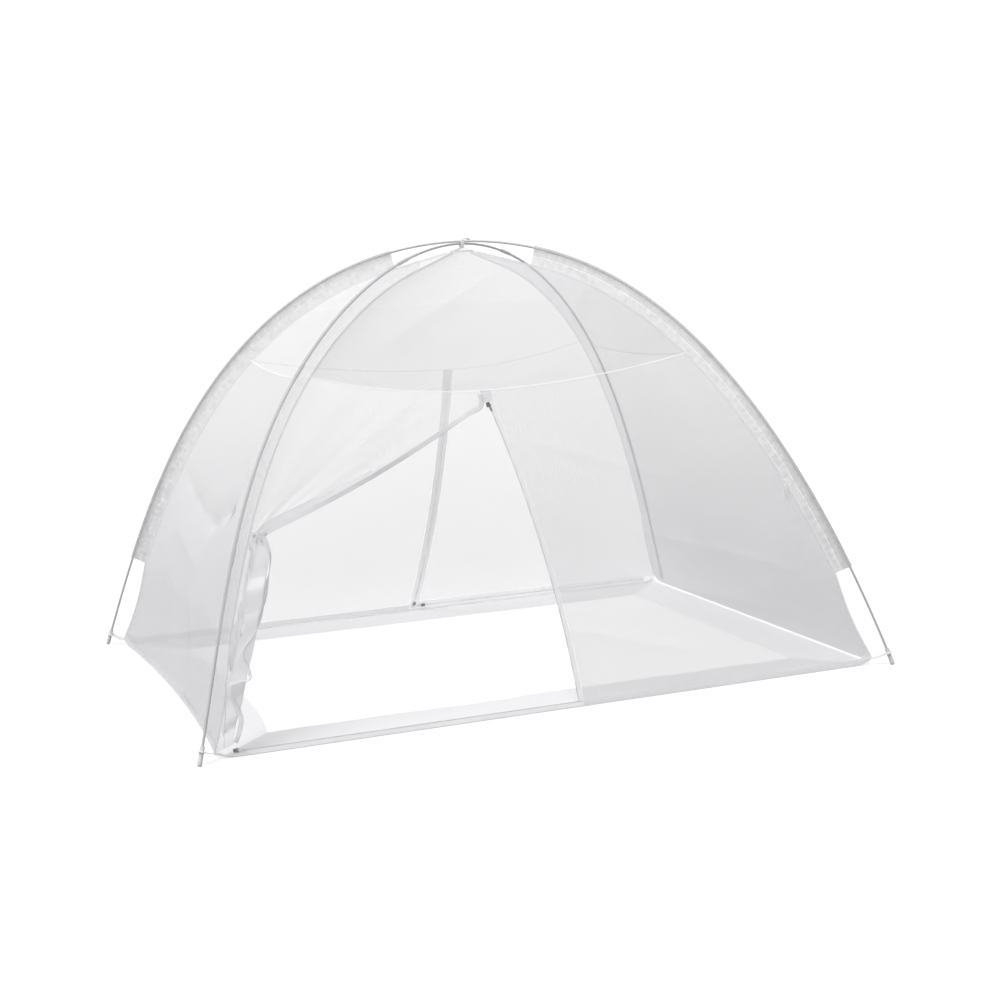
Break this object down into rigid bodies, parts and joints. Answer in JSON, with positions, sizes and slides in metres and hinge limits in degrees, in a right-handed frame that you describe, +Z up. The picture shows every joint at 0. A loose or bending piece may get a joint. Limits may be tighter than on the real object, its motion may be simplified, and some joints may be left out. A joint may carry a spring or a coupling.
{
  "type": "mosquito net tent",
  "caption": "Floorless mosquito net dome for a mattress, held up by two crossing shock-corded poles in seam sleeves, with an L-shaped zip door on each long side.",
  "frame": {"origin": "on the floor under the crossing of the two poles", "axes": "+X along the long side, +Y across the short side from the open door towards the closed one, +Z up"},
  "size_m": [2.1128, 1.5228, 1.3321],
  "materials": {
    "pole": "light grey gloss coat on thin-walled tube",
    "shock_cord": "woven elastic cord",
    "foot_socket": "satin moulded white",
    "webbing": "matte woven tape",
    "band_cloth": "matte thin white cloth",
    "sleeve_cloth": "matte thin white cloth",
    "net": "fine white mesh",
    "zip_tape": "matte woven tape with a nylon coil",
    "zip_slider": "dull dark metal",
    "zip_pull": "moulded white",
    "tie_tape": "matte woven tape"
  },
  "bodies": {
    "tent": {"apex_tie": "tie_tape", "base_band_front": "band_cloth", "base_band_left": "band_cloth", "base_band_rear": "band_cloth", "base_band_right": "band_cloth", "corner_tab_front_left": "webbing", "corner_tab_front_right": "webbing", "corner_tab_rear_left": "webbing", "corner_tab_rear_right": "webbing", "door_flap_front": "net", "door_net_rear": "net", "door_tie_left": "tie_tape", "door_tie_right": "tie_tape", "foot_socket_front_left": "foot_socket", "foot_socket_front_right": "foot_socket", "foot_socket_rear_left": "foot_socket", "foot_socket_rear_right": "foot_socket", "front_zip_fixed_half": "zip_tape", "front_zip_flap_half": "zip_tape", "front_zip_patch": "tie_tape", "peak_patch": "tie_tape", "pole_a_section_1": "pole", "pole_a_section_2": "pole", "pole_a_section_3": "pole", "pole_a_section_4": "pole", "pole_a_section_5": "pole", "pole_a_section_6": "pole", "pole_a_section_7": "pole", "pole_a_shock_cord": "shock_cord", "pole_b_section_1": "pole", "pole_b_section_2": "pole", "pole_b_section_3": "pole", "pole_b_section_4": "pole", "pole_b_section_5": "pole", "pole_b_section_6": "pole", "pole_b_section_7": "pole", "pole_b_shock_cord": "shock_cord", "pole_sleeve_front_left": "sleeve_cloth", "pole_sleeve_front_right": "sleeve_cloth", "pole_sleeve_rear_left": "sleeve_cloth", "pole_sleeve_rear_right": "sleeve_cloth", "rear_zip_door_half": "zip_tape", "rear_zip_fixed_half": "zip_tape", "rear_zip_patch": "tie_tape", "roof_net_front": "net", "roof_net_left": "net", "roof_net_rear": "net", "roof_net_right": "net", "wall_net_front": "net", "wall_net_left": "net", "wall_net_rear": "net", "wall_net_right": "net"},
    "front_sill_pull_body": {"front_sill_pull": "zip_pull"},
    "front_sill_slider_body": {"front_sill_slider": "zip_slider"},
    "front_upright_pull_body": {"front_upright_pull": "zip_pull"},
    "front_upright_slider_body": {"front_upright_slider": "zip_slider"},
    "rear_sill_pull_body": {"rear_sill_pull": "zip_pull"},
    "rear_sill_slider_body": {"rear_sill_slider": "zip_slider"},
    "rear_upright_pull_body": {"rear_upright_pull": "zip_pull"},
    "rear_upright_slider_body": {"rear_upright_slider": "zip_slider"}
  },
  "joints": [
    {"name": "front_upright_zip_run", "type": "hinge", "parent": "tent", "child": "front_upright_slider_body", "pos_m": [-2.44093, 1.63491, -0.70887], "axis": [0.7033, 0.6988, -0.131], "range_deg": [0, 14.33]},
    {"name": "front_sill_zip_run", "type": "slide", "parent": "tent", "child": "front_sill_slider_body", "axis": [1, 0, 0], "range_m": [0, 0.9408]},
    {"name": "front_upright_pull_swing", "type": "hinge", "parent": "front_upright_slider_body", "child": "front_upright_pull_body", "pos_m": [-0.09843, -0.43606, 0.84154], "axis": [-0.9723, -0.0761, -0.2208], "range_deg": [0, 170]},
    {"name": "front_sill_pull_swing", "type": "hinge", "parent": "front_sill_slider_body", "child": "front_sill_pull_body", "pos_m": [-0.9467, -0.72017, 0.01812], "axis": [0, -0.3265, -0.9452], "range_deg": [0, 170]},
    {"name": "rear_upright_zip_run", "type": "hinge", "parent": "tent", "child": "rear_upright_slider_body", "pos_m": [-3.76619, 3.21139, 1.62347], "axis": [0.5995, 0.7689, 0.2224], "range_deg": [-10.27, 0]},
    {"name": "rear_sill_zip_run", "type": "slide", "parent": "tent", "child": "rear_sill_slider_body", "axis": [-1, 0, 0], "range_m": [-0.8808, 0]},
    {"name": "rear_upright_pull_swing", "type": "hinge", "parent": "rear_upright_slider_body", "child": "rear_upright_pull_body", "pos_m": [0.03103, 0.71642, 0.02776], "axis": [0.9902, 0.0456, -0.1321], "range_deg": [0, 170]},
    {"name": "rear_sill_pull_swing", "type": "hinge", "parent": "rear_sill_slider_body", "child": "rear_sill_pull_body", "pos_m": [0.0659, 0.72017, 0.01812], "axis": [0, 0.3265, -0.9452], "range_deg": [0, 170]}
  ]
}
